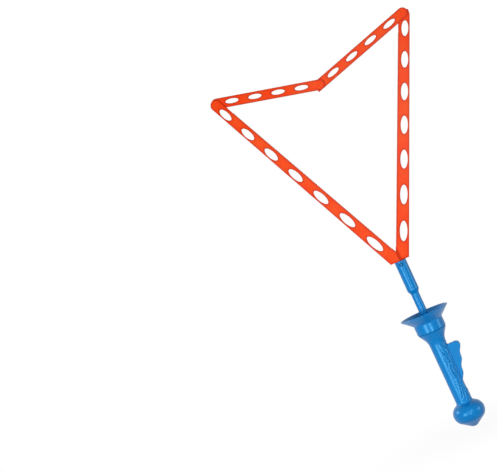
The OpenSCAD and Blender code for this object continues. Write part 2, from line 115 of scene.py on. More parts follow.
def addNode(tree, kind, inputs=None, **settings):
    made = tree.nodes.new(kind)
    for key, value in settings.items():
        setattr(made, key, value)
    for key, value in (inputs or {}).items():
        made.inputs[key].default_value = value
    return made


def feed(tree, made, *sources):  # links the sources to the node's first inputs
    for source, socket in zip(sources, made.inputs):
        tree.links.new(source, socket)
    return made.outputs[0]


def calculate(tree, operation, *sources):
    return feed(tree, addNode(tree, "ShaderNodeMath", operation=operation), *sources)


def mixColour(tree, factor, first, second):
    made = addNode(tree, "ShaderNodeMix", data_type="RGBA")
    tree.links.new(factor, made.inputs[0])
    tree.links.new(first, made.inputs[6])  # 6, 7 and 2 are the colour sockets
    tree.links.new(second, made.inputs[7])
    return made.outputs[2]


def noiseAt(tree, place, scale, detail):
    made = addNode(tree, "ShaderNodeTexNoise", {"Detail": detail})
    tree.links.new(place, made.inputs["Vector"])
    tree.links.new(scale, made.inputs["Scale"])
    return made.outputs["Fac"]


def newGroup(name, inputs, outputs):
    tree = bpy.data.node_groups.new(name, "ShaderNodeTree")
    for side, labels in (("INPUT", inputs), ("OUTPUT", outputs)):
        for label in labels:
            kind = "NodeSocketColor" if "Colour" in label else "NodeSocketFloat"
            tree.interface.new_socket(name=label, in_out=side, socket_type=kind)
    given, result = tree.nodes.new("NodeGroupInput"), tree.nodes.new("NodeGroupOutput")
    return tree, given.outputs, result.inputs


# Moulded surface: slow patches of colour, a fine orange peel and a gloss that wanders with it


def buildMouldedSkin():
    inputs = ("Colour", "Patch Colour", "Patch Scale", "Patch Amount",
              "Peel Scale", "Gloss Base", "Gloss Spread")
    tree, given, result = newGroup("mouldedSkin", inputs, ("Colour", "Roughness", "Height"))
    link = tree.links.new
    place = addNode(tree, "ShaderNodeTexCoord").outputs["Object"]
    patch = noiseAt(tree, place, given["Patch Scale"], detail=2.0)
    share = addNode(tree, "ShaderNodeMapRange", {"From Min": 0.35, "From Max": 0.65})
    link(patch, share.inputs["Value"])
    link(given["Patch Amount"], share.inputs["To Max"])
    link(mixColour(tree, share.outputs["Result"], given["Colour"], given["Patch Colour"]), result["Colour"])
    link(noiseAt(tree, place, given["Peel Scale"], detail=1.0), result["Height"])
    gloss = calculate(tree, "MULTIPLY_ADD", patch, given["Gloss Spread"], given["Gloss Base"])
    link(gloss, result["Roughness"])
    return tree


# Painted shade: a darker colour on plate rims, in the grip's grooves and in the pin's recess, where the shade
# attribute says so


def buildPaintedShade():
    tree, given, result = newGroup("rimTone", ("Colour", "Shade Colour", "Amount"), ("Colour",))
    rim = addNode(tree, "ShaderNodeAttribute", attribute_name="rimTone")
    share = calculate(tree, "MULTIPLY", rim.outputs["Fac"], given["Amount"])
    tree.links.new(mixColour(tree, share, given["Colour"], given["Shade Colour"]), result["Colour"])
    return tree


# Handling marks: sparse hairlines that dull the gloss


def buildHairlines():
    tree, given, result = newGroup("hairlines", ("Scale", "Amount", "Value"), ("Value",))
    link = tree.links.new
    slant = addNode(tree, "ShaderNodeMapping", {"Rotation": (0.5, 0.3, 0.8), "Scale": (1.0, 1.0, 0.06)})
    link(addNode(tree, "ShaderNodeTexCoord").outputs["Object"], slant.inputs["Vector"])
    line = addNode(tree, "ShaderNodeMapRange", {"From Min": 0.66, "From Max": 0.72})
    link(noiseAt(tree, slant.outputs["Vector"], given["Scale"], detail=1.0), line.inputs["Value"])
    dull = calculate(tree, "MULTIPLY_ADD", line.outputs["Result"], given["Amount"], given["Value"])
    link(dull, result["Value"])
    return tree


mouldedSkin = buildMouldedSkin()
rimTone = buildPaintedShade()
hairlines = buildHairlines()


def makeFinish(name, v):
    finish = bpy.data.materials.new(name)
    finish.use_nodes = True
    tree = finish.node_tree
    link = tree.links.new
    shader = tree.nodes["Principled BSDF"]
    for socket, value in v["shader"].items():
        shader.inputs[socket].default_value = value
    skin = addNode(tree, "ShaderNodeGroup", v["skin"], node_tree=mouldedSkin)
    colour = skin.outputs["Colour"]
    # the rim entry paints shade on rims, grooves and recesses through the shade group
    if "rim" in v:
        rim = addNode(tree, "ShaderNodeGroup", v["rim"], node_tree=rimTone)
        link(colour, rim.inputs["Colour"])
        colour = rim.outputs["Colour"]
    link(colour, shader.inputs["Base Color"])
    marks = addNode(tree, "ShaderNodeGroup", v["marks"], node_tree=hairlines)
    link(skin.outputs["Roughness"], marks.inputs["Value"])
    link(marks.outputs["Value"], shader.inputs["Roughness"])
    bump = addNode(tree, "ShaderNodeBump", {"Strength": v["bump"], "Distance": v["bumpDepth"]})
    link(skin.outputs["Height"], bump.inputs["Height"])
    link(bump.outputs["Normal"], shader.inputs["Normal"])
    return finish


finishValues = {
    "bluePlastic": {
        "shader": {"Specular IOR Level": 0.58, "Specular Tint": (0.26, 0.74, 1.0, 1.0)},
        "skin": {"Colour": srgb(0, 120, 193), "Patch Colour": srgb(0, 113, 186), "Patch Scale": 45.0,
                 "Patch Amount": 0.5, "Peel Scale": 140.0, "Gloss Base": 0.23, "Gloss Spread": 0.1},
        # painted shade for the grip's grooves and the pin's recess
        "rim": {"Shade Colour": srgb(0, 74, 140), "Amount": 0.9},
        "marks": {"Scale": 900.0, "Amount": 0.1},
        "bump": 0.01, "bumpDepth": 0.0002,
    },
    "orangePlastic": {
        "shader": {"Specular IOR Level": 0.1},
        "skin": {"Colour": srgb(250, 66, 10), "Patch Colour": srgb(250, 86, 26), "Patch Scale": 24.0,
                 "Patch Amount": 0.8, "Peel Scale": 240.0, "Gloss Base": 0.2, "Gloss Spread": 0.16},
        # painted shade along the arms' rounded rims
        "rim": {"Shade Colour": srgb(168, 22, 2), "Amount": 0.8},
        "marks": {"Scale": 900.0, "Amount": 0.1},
        "bump": 0.06, "bumpDepth": 0.0002,
    },
    "whitePlastic": {
        "shader": {"Specular IOR Level": 0.4},
        "skin": {"Colour": srgb(232, 232, 226), "Patch Colour": srgb(214, 214, 206), "Patch Scale": 60.0,
                 "Patch Amount": 0.6, "Peel Scale": 900.0, "Gloss Base": 0.32, "Gloss Spread": 0.2},
        "marks": {"Scale": 700.0, "Amount": 0.15},
        "bump": 0.15, "bumpDepth": 0.0002,
    },
    "pinSteel": {
        "shader": {"Metallic": 1.0},
        "skin": {"Colour": srgb(190, 193, 198), "Patch Colour": srgb(158, 160, 166), "Patch Scale": 220.0,
                 "Patch Amount": 0.8, "Peel Scale": 2600.0, "Gloss Base": 0.22, "Gloss Spread": 0.2},
        "marks": {"Scale": 1800.0, "Amount": 0.2},
        "bump": 0.2, "bumpDepth": 0.0001,
    },
    "springSteel": {
        "shader": {"Metallic": 1.0},
        "skin": {"Colour": srgb(168, 172, 180), "Patch Colour": srgb(120, 124, 132), "Patch Scale": 300.0,
                 "Patch Amount": 0.9, "Peel Scale": 3000.0, "Gloss Base": 0.2, "Gloss Spread": 0.15},
        "marks": {"Scale": 1500.0, "Amount": 0.2},
        "bump": 0.2, "bumpDepth": 0.0001,
    },
}
finishes = {name: makeFinish(name, v) for name, v in finishValues.items()}
print("finishes made:", len(finishes))

# Stage: pale floor under the pommel, white to the rays that show the background

stageValues = {
    "floorGap": 0.0004, "floorRadius": 0.2, "floorSides": 96,
    "floorColour": srgb(236, 236, 234), "floorWhite": 0.94, "ambient": 0.06,
}
lampValues = {
    "frontSoftBox": {"place": (0.34, -1.67, -0.2), "aim": (0, 0, 0.15), "size": (0.2, 0.24), "watts": 7},
    "frontLeftSoftBox": {"place": (-0.76, -1.52, 0.0), "aim": (0, 0, 0.15), "size": (0.5, 0.7), "watts": 14},
    "rightSoftBox": {"place": (1.68, -0.25, 0.05), "aim": (0, 0, 0.15), "size": (0.45, 0.5), "watts": 5.5},
    "highLeftSoftBox": {"place": (-1.7, 0.1, 0.95), "aim": (0, 0, 0.15), "size": (0.6, 0.5), "watts": 10},
    "upperRightSoftBox": {"place": (0.72, -1.55, 0.52), "aim": (0, 0, 0.1), "size": (0.5, 0.5), "watts": 5.5},
    "backSoftBox": {"place": (-0.4, 1.75, 0.4), "aim": (0, 0, 0.2), "size": (1.2, 1.0), "watts": 24,
                    "mirrored": False},  # a fill lamp that gives no bright rims
    "loopSoftBox": {"place": (-0.02, -1.7, 0.46), "aim": (0.07, 0, 0.33), "size": (0.25, 0.42), "watts": 3.2},
}


def emptyTree(holder):
    holder.use_nodes = True
    holder.node_tree.nodes.clear()
    return holder.node_tree


def backgroundRays(tree):
    path = addNode(tree, "ShaderNodeLightPath")
    seen = path.outputs["Is Camera Ray"]
    for kind in ("Is Glossy Ray", "Is Transmission Ray"):
        seen = calculate(tree, "MAXIMUM", seen, path.outputs[kind])
    return seen


def mixByRays(tree, share, lit, shown, end):
    picked = feed(tree, addNode(tree, "ShaderNodeMixShader"), share, lit.outputs[0], shown.outputs[0])
    tree.links.new(picked, addNode(tree, end).inputs["Surface"])


def buildWorld(v):
    scene.world = bpy.data.worlds.new("paleRoom")
    tree = emptyTree(scene.world)
    white = (1, 1, 1, 1)
    lit = addNode(tree, "ShaderNodeBackground", {"Color": white, "Strength": v.ambient})
    shown = addNode(tree, "ShaderNodeBackground", {"Color": white, "Strength": 1.0})
    mixByRays(tree, backgroundRays(tree), lit, shown, "ShaderNodeOutputWorld")


def buildFloor(v):  # keeps a faint shadow near the pommel and fades to white at its edge
    paper = bpy.data.materials.new("palePaper")
    paper.cycles.emission_sampling = "NONE"
    tree = emptyTree(paper)
    lit = addNode(tree, "ShaderNodeBsdfDiffuse", {"Color": v.floorColour})
    shown = addNode(tree, "ShaderNodeEmission", {"Strength": 1.0})
    place = addNode(tree, "ShaderNodeTexCoord").outputs["Object"]
    reach = addNode(tree, "ShaderNodeVectorMath", operation="LENGTH")
    tree.links.new(place, reach.inputs[0])
    fadeEnds = {"From Min": 0.0, "From Max": v.floorRadius, "To Min": v.floorWhite, "To Max": 1.0}
    fade = addNode(tree, "ShaderNodeMapRange", fadeEnds, interpolation_type="SMOOTHSTEP")
    tree.links.new(reach.outputs["Value"], fade.inputs["Value"])
    share = calculate(tree, "MULTIPLY", backgroundRays(tree), fade.outputs["Result"])
    mixByRays(tree, share, lit, shown, "ShaderNodeOutputMaterial")

    radius, count = v.floorRadius, v.floorSides
    turns = [2 * pi * i / count for i in range(count)]
    sheet = bpy.data.meshes.new("floor")
    sheet.from_pydata([(radius * cos(a), radius * sin(a), 0) for a in turns], [], [tuple(range(count))])
    sheet.materials.append(paper)
    holder = bpy.data.objects.new("floor", sheet)
    holder.location.z = cadBox[0].z - v.floorGap
    scene.collection.objects.link(holder)


def placeLamp(name, v):
    lamp = bpy.data.lights.new(name, "AREA")
    lamp.shape = "RECTANGLE"
    lamp.size, lamp.size_y = v["size"]
    lamp.energy = v["watts"]
    holder = bpy.data.objects.new(name, lamp)
    scene.collection.objects.link(holder)
    holder.visible_camera = False
    holder.visible_glossy = v.get("mirrored", True)
    place, aim = Vector(v["place"]), Vector(v["aim"])
    holder.location = place
    holder.rotation_mode = "QUATERNION"
    holder.rotation_quaternion = (aim - place).to_track_quat("-Z", "Y")


buildWorld(named(stageValues))
buildFloor(named(stageValues))
for lampName, lampValue in lampValues.items():
    placeLamp(lampName, lampValue)
print("stage and lamps set")

# Mesh helpers, all in millimetres

meshValues = {
    "weldReach": 2e-6, "flatReach": 1e-7,  # these two in metres
    "axisReach": 1e-6, "cutReach": 20.0, "filletShare": 0.49, "mitreLeast": 0.5,
}


def declare(piece, body, node):
    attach(piece, body)
    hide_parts(node)


def makePiece(name, verts, faces, finish, body=None, node=None):
    shape = bpy.data.meshes.new(name)
    shape.from_pydata([(x * mm, y * mm, z * mm) for x, y, z in verts], [], faces)
    shape.materials.append(finishes[finish])
    piece = bpy.data.objects.new(name, shape)
    scene.collection.objects.link(piece)
    weld(piece)
    if body:
        declare(piece, body, node)
    return piece


def weld(piece):  # joins doubled points and turns all faces outwards
    work = bmesh.new()
    work.from_mesh(piece.data)
    bmesh.ops.remove_doubles(work, verts=work.verts, dist=meshValues["weldReach"])
    bmesh.ops.dissolve_degenerate(work, edges=work.edges, dist=meshValues["flatReach"])
    bmesh.ops.recalc_face_normals(work, faces=work.faces)
    work.to_mesh(piece.data)
    work.free()


def smooth(piece, sharpAngle=40.0, weighted=True):
    shape = piece.data
    shape.polygons.foreach_set("use_smooth", [True] * len(shape.polygons))
    shape.set_sharp_from_angle(angle=radians(sharpAngle))
    if weighted:
        even = piece.modifiers.new("evenNormals", "WEIGHTED_NORMAL")
        even.keep_sharp = True
    shape.update()


def carve(piece, verts, faces, how="DIFFERENCE"):
    tool = makePiece("cutter", verts, faces, piece.data.materials[0].name)
    change = piece.modifiers.new("carve", "BOOLEAN")
    change.object = tool
    change.operation = how
    change.solver = "EXACT"
    bpy.context.view_layer.update()
    ready = piece.evaluated_get(bpy.context.evaluated_depsgraph_get())
    shape = bpy.data.meshes.new_from_object(ready)
    piece.modifiers.clear()
    piece.data = shape
    bpy.data.objects.remove(tool)


def filletPath(corners, steps=6):  # corners are (radius, height, rounding)
    path, count = [], len(corners)
    for i, (x, y, rounding) in enumerate(corners):
        here = Vector((x, y))
        if not rounding:
            path.append((x, y))
            continue
        back = Vector(corners[i - 1][:2]) - here
        ahead = Vector(corners[(i + 1) % count][:2]) - here
        half = back.angle(ahead) / 2
        longest = meshValues["filletShare"] * min(back.length, ahead.length)
        reach = min(rounding / tan(half), longest)
        middle = (back.normalized() + ahead.normalized()).normalized()
        centre = here + middle * (reach / cos(half))
        start = here + back.normalized() * reach - centre
        stop = here + ahead.normalized() * reach - centre
        first = atan2(start.y, start.x)
        sweep = (atan2(stop.y, stop.x) - first + pi) % (2 * pi) - pi
        for s in range(steps + 1):
            a = first + sweep * s / steps
            path.append((centre.x + start.length * cos(a), centre.y + start.length * sin(a)))
    return path


def lathe(path, steps=128):  # closed path of (radius, height), turned round the wand's axis
    verts, faces, count, axis = [], [], len(path), meshValues["axisReach"]
    for i in range(steps):
        a = 2 * pi * i / steps
        verts += [(r * cos(a), r * sin(a), z) for r, z in path]
    for i in range(steps):
        j = (i + 1) % steps
        for k in range(count):
            m = (k + 1) % count
            if path[k][0] > axis or path[m][0] > axis:
                faces.append((i * count + k, j * count + k, j * count + m, i * count + m))
    return verts, faces


def rodAcross(path, x, z, steps=48):  # a lathed form whose axis runs along Y, at the place (x, z)
    verts, faces = lathe(path, steps)
    return [(x + a, c, z - b) for a, b, c in verts], faces


def plainRod(radius, start, stop, x, z):
    return rodAcross([(0, start), (radius, start), (radius, stop), (0, stop)], x, z)


def prism(loop, front, back):
    count = len(loop)
    verts = [(x, front, z) for x, z in loop] + [(x, back, z) for x, z in loop]
    faces = [tuple(range(count)), tuple(reversed(range(count, 2 * count)))]
    faces += [(i, count + i, count + (i + 1) % count, (i + 1) % count) for i in range(count)]
    return verts, faces


def along(start, stop, share):
    return tuple(a + (b - a) * share for a, b in zip(start, stop))


def ring(x, z, radius, steps=48):
    turns = [2 * pi * i / steps for i in range(steps)]
    return [(x + radius * cos(a), z + radius * sin(a)) for a in turns]


def arcPoints(x, z, radius, start, stop, steps):
    turns = [radians(start + (stop - start) * i / steps) for i in range(steps + 1)]
    return [(x + radius * cos(a), z + radius * sin(a)) for a in turns]


def drawIn(loop, distance):  # moves each point of a loop to its left by the given distance
    points = np.array(loop)
    along = np.roll(points, -1, axis=0) - points
    along /= np.linalg.norm(along, axis=1)[:, None]
    left = np.stack([-along[:, 1], along[:, 0]], axis=1)
    mitre = left + np.roll(left, 1, axis=0)
    mitre /= np.linalg.norm(mitre, axis=1)[:, None]
    stretch = np.maximum((mitre * left).sum(axis=1), meshValues["mitreLeast"])
    return points + mitre * (distance / stretch)[:, None]


def edgeDistance(points, loops):  # from each point to the nearest edge of the loops
    best = np.full(len(points), np.inf)
    for loop in loops:
        a = np.array(loop)
        d = np.roll(a, -1, axis=0) - a
        for start, step in zip(a, d):
            t = np.clip(((points - start) @ step) / (step @ step), 0, 1)
            best = np.minimum(best, np.linalg.norm(points - start - t[:, None] * step, axis=1))
    return best


def insideLoops(points, loops):
    odd = np.zeros(len(points), bool)
    for loop in loops:
        a = np.array(loop)
        b = np.roll(a, -1, axis=0)
        for (x0, y0), (x1, y1) in zip(a, b):
            if y0 != y1:
                crosses = (y0 > points[:, 1]) != (y1 > points[:, 1])
                odd ^= crosses & (points[:, 0] < (x1 - x0) * (points[:, 1] - y0) / (y1 - y0) + x0)
    return odd


# Flat plates with rounded edges

plateValues = {
    "rowShare": 0.866,  # distance between rows in the net of points
    "clearShare": 0.45,  # how far the net keeps from the edges
    "rimReach": 1.25,  # how far the painted shade of the rim runs in
    "bowSpan": 38.0, "pointReach": 1e-6,
}


def fillPlate(loops, spacing):  # triangles inside the loops, with points spread evenly over the plate
    corners = np.concatenate(loops)
    low, high = corners.min(axis=0), corners.max(axis=0)
    rows = np.arange(low[1], high[1], spacing * plateValues["rowShare"])
    row = np.arange(low[0], high[0], spacing)
    grid = np.array([(x + (i % 2) * spacing / 2, z) for i, z in enumerate(rows) for x in row])
    grid = grid[insideLoops(grid, loops)]
    grid = grid[edgeDistance(grid, loops) > spacing * plateValues["clearShare"]]
    points = np.concatenate([corners, grid])
    borders, start = [], 0
    for loop in loops:
        borders += [(start + i, start + (i + 1) % len(loop)) for i in range(len(loop))]
        start += len(loop)
    flat = delaunay_2d_cdt([Vector(p) for p in points], borders, [], 0, plateValues["pointReach"])
    found = np.array([tuple(p) for p in flat[0]])
    if len(found) != len(points):
        raise RuntimeError("the plate's outline crosses itself")
    triangles = np.array([f for f in flat[2] if len(f) == 3])
    middles = found[triangles].mean(axis=1)
    return grid, triangles[insideLoops(middles, loops)]


def markPaintedShade(piece, shades):
    tone = piece.data.attributes.new("rimTone", "FLOAT", "POINT")
    tone.data.foreach_set("value", shades)


def plateMesh(loops, front, back, edge, spacing, steps=3, wave=0.0, plain=0):
    # loops run with the plate on their left, seen from the front; the plate lies from y = front to y = back;
    # the last few loops, as many as plain says, get no painted shade on their rims
    verts, faces, shades = [], [], []
    toned = loops[:len(loops) - plain]
    reach, span = plateValues["rimReach"], plateValues["bowSpan"]
    rounds = [(edge * (1 - sin(t)), edge * (1 - cos(t)))
              for t in [pi / 2 * s / steps for s in range(steps + 1)]]
    rings = [(inset, front + depth) for inset, depth in rounds]
    rings += [(inset, back - depth) for inset, depth in reversed(rounds)]
    capLoops = [drawIn(loop, edge) for loop in loops]

    def bow(x, z):
        return wave * noise.noise(Vector((x / span, z / span, front)))

    starts = []
    for n, loop in enumerate(loops):
        starts.append(len(verts))
        count = len(loop)
        for inset, y in rings:
            verts += [(x, y + bow(x, z), z) for x, z in drawIn(loop, inset)]
            # painted shade, strongest at the rim's edge and fading inwards
            shades += [exp(-inset / reach) if n < len(toned) else 0.0] * count
        for r in range(len(rings) - 1):
            a, b = starts[-1] + r * count, starts[-1] + (r + 1) * count
            for i in range(count):
                j = (i + 1) % count
                faces.append((a + i, b + i, b + j, a + j))
    grid, triangles = fillPlate(capLoops, spacing)
    depth = edgeDistance(grid, toned)
    for side, y in ((0, front), (1, back)):
        index = []
        for start, loop in zip(starts, loops):
            first = start + side * (len(rings) - 1) * len(loop)
            index += list(range(first, first + len(loop)))
        index += list(range(len(verts), len(verts) + len(grid)))
        verts += [(x, y + bow(x, z), z) for x, z in grid]
        shades += [exp(-d / reach) for d in depth]
        for a, b, c in triangles:
            faces.append((index[a], index[b], index[c]) if side == 0 else (index[c], index[b], index[a]))
    return verts, faces, shades


def slotLoop(path, radius, steps=10):  # closed band round a path, with round ends
    points = [Vector(p) for p in path]
    last = len(points) - 1
    sides = []
    for i, p in enumerate(points):
        heading = (points[min(i + 1, last)] - points[max(i - 1, 0)]).normalized()
        sides.append(Vector((heading.y, -heading.x)) * radius)
    loop = [tuple(p + s) for p, s in zip(points, sides)]
    a = degrees(atan2(sides[-1].y, sides[-1].x))
    loop += arcPoints(points[-1].x, points[-1].y, radius, a, a + 180, steps)[1:-1]
    loop += [tuple(p - s) for p, s in zip(reversed(points), reversed(sides))]
    a = degrees(atan2(-sides[0].y, -sides[0].x))
    loop += arcPoints(points[0].x, points[0].y, radius, a, a + 180, steps)[1:-1]
    return loop


# Arms of the loop

armValues = {
    "pivotHeight": 165.7, "openAngle": 24.85, "tipAngle": 74.74, "thickness": 1.6, "gap": 0.3,
    "edgeRound": 0.28, "pointSpacing": 1.9, "wave": 0.05, "rivetHole": 3.24, "squareEnd": 6.6,
    "longLength": 347.0, "longIn": (8.5, 7.2), "longOut": (10.3, 9.0), "rowShift": 2.5, "holes": 7,
    "firstHole": 46.4, "lastHole": 19.6, "holeGrading": 0.088,
    "holeSizes": ((10.5, 28.5), (9.3, 21.5)),  # width and length of the first and of the last hole
    "toothPitch": 2.9, "toothDepth": 0.8, "toothMargin": 24.0,
    "shortIn": 5.8, "shortOut": 9.2, "shortRowShift": 2.2, "shortHoles": 4,
    "shortFirst": 23.1, "shortLast": 26.2, "shortHoleSize": (6.7, 19.4),
    "pivotHole": 1.55, "pivotDepth": 4.9, "runGap": 0.05, "passGap": 0.3, "lap": 1.0,
    "tailHalf": 5.837, "tailBend": 0.6, "tailCut": 2.2, "tailDrop": 1.5,
    "driveOpen": 4.0, "driveTravel": 4.5, "camSlot": 1.05, "camWall": 1.2, "camTurn": 233.13, "camSteps": 8,
}


def ellipseHole(x, z, width, length, lean, steps=64):  # runs clockwise, so that the plate is on its left
    loop, c, s = [], cos(lean), sin(lean)
    for i in range(steps):
        a = -2 * pi * i / steps
        u, w = width / 2 * cos(a), length / 2 * sin(a)
        loop.append((x + u * c - w * s, z + u * s + w * c))
    return loop


def longArmLoops(v, squareTip):
    lean = radians(v.openAngle)
    c, s, length, rise = cos(lean), sin(lean), v.longLength, v.pivotHeight
    inBase, outBase = v.longIn[0], v.longOut[0]
    inSlope, outSlope = (v.longIn[1] - inBase) / length, (outBase - v.longOut[1]) / length

    def onBlade(u, w):
        return (u * c - w * s, u * s + w * c)

    def inEdge(w):
        return inBase + inSlope * w

    def outEdge(w):
        return -outBase + outSlope * w

    shoulder = v.pivotDepth + v.runGap
    outStart = (shoulder + outBase * s) / (c + outSlope * s)
    inStart = (inBase * c - v.lap) / (s - inSlope * c)
    camEnd = v.driveOpen + v.driveTravel
    endX, endZ, endR = camEnd * s, -camEnd * c, v.camSlot + v.camWall
    tail = v.tailHalf
    outer = [onBlade(outEdge(outStart), outStart), (-tail, shoulder), (-tail, v.tailBend),
             (-tail + v.tailCut, -v.driveOpen - v.camSlot)]
    outer += arcPoints(endX, endZ, endR, v.camTurn, 360, v.camSteps)
    outer += [(tail, -v.tailBend), (tail / 2, v.pivotDepth - v.tailDrop),
              (v.lap, v.pivotDepth + v.passGap), onBlade(inEdge(inStart), inStart)]
    teeth = floor((length - 2 * v.toothMargin) / v.toothPitch)
    for i in range(teeth):
        w = v.toothMargin + i * v.toothPitch
        outer += [onBlade(inEdge(w), w), onBlade(inEdge(w) - v.toothDepth, w + v.toothPitch / 2)]
    inTip, outTip = v.longIn[1], v.longOut[1]
    if squareTip:
        end = length + v.squareEnd
        tip = [(inTip, length), (inTip, end), (-v.squareEnd, end), (-outTip, length)]
    else:
        tip = arcPoints((inTip - outTip) / 2, length, (inTip + outTip) / 2, 0, 180, steps=24)
    outer += [onBlade(u, w) for u, w in tip]
    loops = [outer]
    count, grade = v.holes - 1, v.holeGrading
    for k in range(count + 1):
        share = (k * (1 + grade) - grade / (count - 1) * k * (k - 1)) / count
        w = v.firstHole + (length - v.firstHole - v.lastHole) * share
        loops.append(ellipseHole(*onBlade(-v.rowShift, w), *along(*v.holeSizes, k / count), lean))
    loops.append(ring(0, 0, v.pivotHole, steps=32)[::-1])
    camPath, last = [], v.camSteps
    for i in range(last + 1):
        a, d = lean * i / last, v.driveOpen + v.driveTravel * i / last
        camPath.append((d * sin(a), -d * cos(a)))
    loops.append(slotLoop(camPath, v.camSlot)[::-1])
    loops.append(ring(*onBlade(0, length), v.rivetHole, steps=40)[::-1])
    return [[(x, z + rise) for x, z in loop] for loop in loops]


def loopCorners(v):  # place of the right tip, length of a short arm and height of the middle rivet
    lean, tip = radians(v.openAngle), radians(v.tipAngle)
    tipX = v.longLength * sin(lean)
    tipZ = v.pivotHeight + v.longLength * cos(lean)
    shortLength = tipX / sin(tip)
    return tipX, tipZ, shortLength, tipZ - shortLength * cos(tip)


def shortArmLoops(v, squareTip):
    tipX, tipZ, length, _ = loopCorners(v)
    turn = radians(-180 - v.tipAngle)
    c, s = cos(turn), sin(turn)

    def onArm(u, w):
        return (u * c + w * s - tipX, -u * s + w * c + tipZ)

    middle, half = (v.shortIn - v.shortOut) / 2, (v.shortIn + v.shortOut) / 2
    outer = arcPoints(middle, 0, half, 180, 360, steps=24)
    if squareTip:
        end = length + v.squareEnd
        outer += [(v.shortIn, end), (-v.shortOut, end)]
    else:
        outer += arcPoints(middle, length, half, 0, 180, steps=24)
    loops = [[onArm(u, w) for u, w in outer]]
    run = length - v.shortFirst - v.shortLast
    for k in range(v.shortHoles):
        w = v.shortFirst + run * k / (v.shortHoles - 1)
        loops.append(ellipseHole(*onArm(-v.shortRowShift, w), *v.shortHoleSize, -turn))
    for w in (0, length):
        loops.append(ring(*onArm(0, w), v.rivetHole, steps=40)[::-1])
    return loops


def halfTurned(loops):  # the right arms are the left ones turned half round the wand's axis
    return [[(-x, z) for x, z in reversed(loop)] for loop in loops]


def armLayers(v):  # front faces of the four layers, from the front
    stack = 2 * v.thickness + 1.5 * v.gap
    return [-stack + i * (v.thickness + v.gap) for i in range(4)]


def buildArms(v):
    front = armLayers(v)
    rows = [
        ("leftLongArm", longArmLoops(v, False), front[0], "left_arm", "left_long_arm", 1),
        ("leftShortArm", shortArmLoops(v, False), front[1], "left_tip", "left_short_arm", 2),
        ("rightShortArm", halfTurned(shortArmLoops(v, True)), front[2], "right_tip", "right_short_arm", 2),
        ("rightLongArm", halfTurned(longArmLoops(v, True)), front[3], "right_arm", "right_long_arm", 1),
    ]
    for name, loops, y, body, node, rivets in rows:
        verts, faces, shades = plateMesh(loops, y, y + v.thickness, v.edgeRound, v.pointSpacing,
                                        wave=v.wave, plain=rivets)
        piece = makePiece(name, verts, faces, "orangePlastic", body, node)
        if len(piece.data.vertices) != len(shades):
            raise RuntimeError(name + " lost points in the weld")
        markPaintedShade(piece, shades)
        smooth(piece)


buildArms(named(armValues))
print("arms built")

# Rivets: flush heads with a fine ring round them

rivetValues = {
    "shank": 2.0, "head": 3.2, "headDepth": 0.6, "flatShare": 0.6, "edgeRound": 0.08, "crown": 0.03,
}


def rivetPath(v, front, back, headBehind):
    shank, head, e, t = v.shank, v.head, v.edgeRound, v.headDepth
    flat = head * v.flatShare
    path = [(0, front, 0), (flat, front, 0), (head, front + v.crown, e),
            (head, front + t, 0), (shank, front + t, 0)]
    if headBehind:
        path += [(shank, back - t, 0), (head, back - t, 0),
                 (head, back - v.crown, e), (flat, back, 0), (0, back, 0)]
    else:
        path += [(shank, back, 0), (0, back, 0)]
    return filletPath(path, steps=4)


def buildRivets(v, arm):
    tipX, tipZ, _, middleZ = loopCorners(arm)
    outside, inside = armLayers(arm)[:2]
    tip = rivetPath(v, outside, inside + arm.thickness, True)
    middle = rivetPath(v, inside, -arm.runGap, False)
    rows = [
        ("leftTipRivet", tip, 1, -tipX, tipZ, "left_arm", "left_tip_rivet"),
        ("rightTipRivet", tip, -1, tipX, tipZ, "right_arm", "right_tip_rivet"),
        ("middleRivetFront", middle, 1, 0, middleZ, "left_tip", "middle_rivet_front"),
        ("middleRivetBack", middle, -1, 0, middleZ, "right_tip", "middle_rivet_back"),
    ]
    for name, path, side, x, z, body, node in rows:
        shape = rodAcross([(r, side * y) for r, y in path], x, z)
        smooth(makePiece(name, *shape, "orangePlastic", body, node))


buildRivets(named(rivetValues), named(armValues))
print("rivets built")

# Handle shells

handleValues = {
    "gripLow": 11.7, "gripTop": 12.0, "gripLength": 86.4, "wall": 1.8,
    "pommel": 22.9, "bulge": 14.65, "creaseDrop": 10.5, "coneSlope": 35.0, "coneSteps": 7, "nose": 10.0,
    "neckFillet": 4.0, "flare": 22.0, "flareRound": 12.0, "flareHeight": 20.5, "flareShares": (0.35, 0.7, 1),
    "seamBevel": 0.7, "spigot": 18.8, "spigotHeight": 7.0, "spigotStep": 1.5, "plate": 2.5, "plateHole": 5.88,
    "insideShares": (0.3, 0.6, 0.9),
    "slotHalf": 5.0, "slotLow": -29.5, "slotTop": 41.2, "slotSpare": 0.5, "halfGap": 0.0004,
    "lineDepth": 0.22, "lineWidth": 0.3, "lineStart": 0.12, "lineEnd": 0.7, "lineLeast": 8.0,
    "gripRows": 116, "strandColumns": 78, "sideColumns": 28, "slotColumns": 9, "sharpAngle": 38.0,
    "screwHead": 3.1, "screwSeat": 10.0, "seatRound": 0.3, "screwReach": 40.0,
    "screwBoss": 4.7, "bossGap": 0.2, "bossInset": 1.4, "rodHole": 2.8, "webInset": 0.9, "webGap": 0.05,
}
strandValues = {
    "low": -46.0, "lowFade": 9.0, "high": 52.0, "highFade": 16.0, "slotFade": 1.2,
    "reach": 1.5, "reachFade": 0.14, "count": 15, "depth": 1.3, "rise": 0.35, "roundness": 0.97,
    "sways": [(0.5, 92.0, 0.8, 0.5), (0.3, 41.0, 1.9, 2.1), (0.13, 24.0, -2.4, 0.9)],
    "patchTurn": 8 / 3, "patchStep": 3.7, "patchScale": 17.0,
    "patchLow": -0.45, "patchHigh": 0.1, "patchLeast": 0.3,
    # grooveTone: how deep a groove sinks before it takes the full painted shade
    "grooveTone": 0.5, "skinShare": 0.7,
}
handle, strands = named(handleValues), named(strandValues)


def smoothStep(low, high, value):
    t = min(max((value - low) / (high - low), 0.0), 1.0)
    return t * t * (3 - 2 * t)


